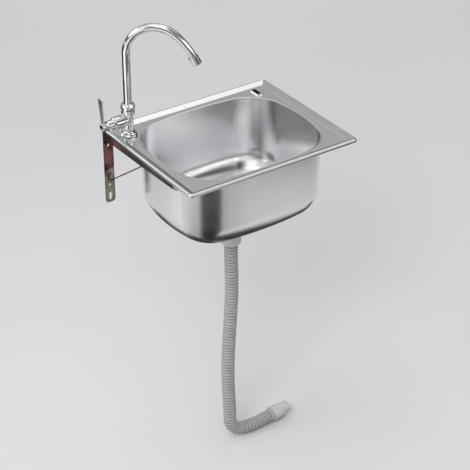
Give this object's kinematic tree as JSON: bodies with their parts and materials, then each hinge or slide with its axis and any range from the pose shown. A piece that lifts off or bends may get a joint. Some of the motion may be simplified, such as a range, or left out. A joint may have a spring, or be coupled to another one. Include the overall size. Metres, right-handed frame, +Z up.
{
  "type": "wall-hung kitchen sink",
  "caption": "Wall-hung steel sink with one bowl on two triangular brackets, with swivel tap, side lever, strainer, overflow and ribbed drain hose.",
  "frame": {"origin": "centre of the four wall holes of the two bracket legs, in the plane of the wall", "axes": "+Z up, +Y into the wall, +X to the right for someone who stands in front of the sink"},
  "size_m": [0.4814, 0.37, 1.1477],
  "materials": {
    "steel": "brushed stainless steel",
    "polished_steel": "polished stainless steel",
    "chrome": "bright chrome plate",
    "brass": "turned brass",
    "ceramic": "ground ceramic",
    "black_rubber": "moulded rubber",
    "grey_plastic": "moulded plastic",
    "black_plastic": "moulded plastic",
    "white_plastic": "moulded plastic",
    "hose": "corrugated plastic",
    "zinc": "yellow zinc plate",
    "red_zinc": "yellow zinc plate with a red cast"
  },
  "bodies": {
    "root": {"sink_deck": "steel", "sink_bowl": "steel", "flange_seal": "black_rubber", "strainer_cup": "polished_steel", "body_seal": "black_rubber", "drain_body": "grey_plastic", "clamp_screw": "polished_steel", "hose_washer": "black_rubber", "hose_nut": "grey_plastic", "drain_hose": "hose", "hose_cuff": "grey_plastic", "overflow_cover": "chrome", "overflow_gasket": "black_rubber", "overflow_housing": "black_plastic", "overflow_pipe": "white_plastic", "overflow_nuts": "white_plastic", "base_gasket": "black_rubber", "tap_body": "chrome", "deck_washer": "black_rubber", "lock_nut": "brass", "seat_gasket": "black_rubber", "fixed_disc": "ceramic", "cartridge_body": "chrome", "bonnet_cover": "chrome", "collar_nut": "chrome", "right_leg": "red_zinc", "left_leg": "red_zinc", "right_arm": "zinc", "left_arm": "zinc", "right_brace": "zinc", "left_brace": "zinc", "bracket_rivets": "zinc"},
    "spout": {"spout_tube": "chrome", "spout_rings": "black_rubber", "split_ring": "brass", "aerator_housing": "chrome", "aerator_washer": "black_rubber", "aerator_insert": "white_plastic"},
    "handle": {"lever_handle": "chrome", "lever_screw": "polished_steel", "lever_cap": "chrome", "valve_stem": "brass", "stem_ring": "black_rubber", "moving_disc": "ceramic"},
    "basket": {"strainer_basket": "polished_steel"},
    "stopper": {"stopper_stem": "polished_steel", "stopper_knob": "polished_steel", "stopper_seal": "black_rubber"}
  },
  "joints": [
    {"name": "spout_swivel", "type": "hinge", "parent": "root", "child": "spout", "pos_m": [-0.185, -0.052, 0.16], "axis": [0, 0, 1], "continuous": true},
    {"name": "lever_turn", "type": "hinge", "parent": "root", "child": "handle", "pos_m": [-0.245, -0.052, 0.131], "axis": [1, 0, 0], "range_deg": [0, 90]},
    {"name": "basket_lift", "type": "slide", "parent": "root", "child": "basket", "axis": [0, 0, 1], "range_m": [0, 0.25]},
    {"name": "stopper_lift", "type": "slide", "parent": "basket", "child": "stopper", "axis": [0, 0, 1], "range_m": [0, 0.005]}
  ]
}
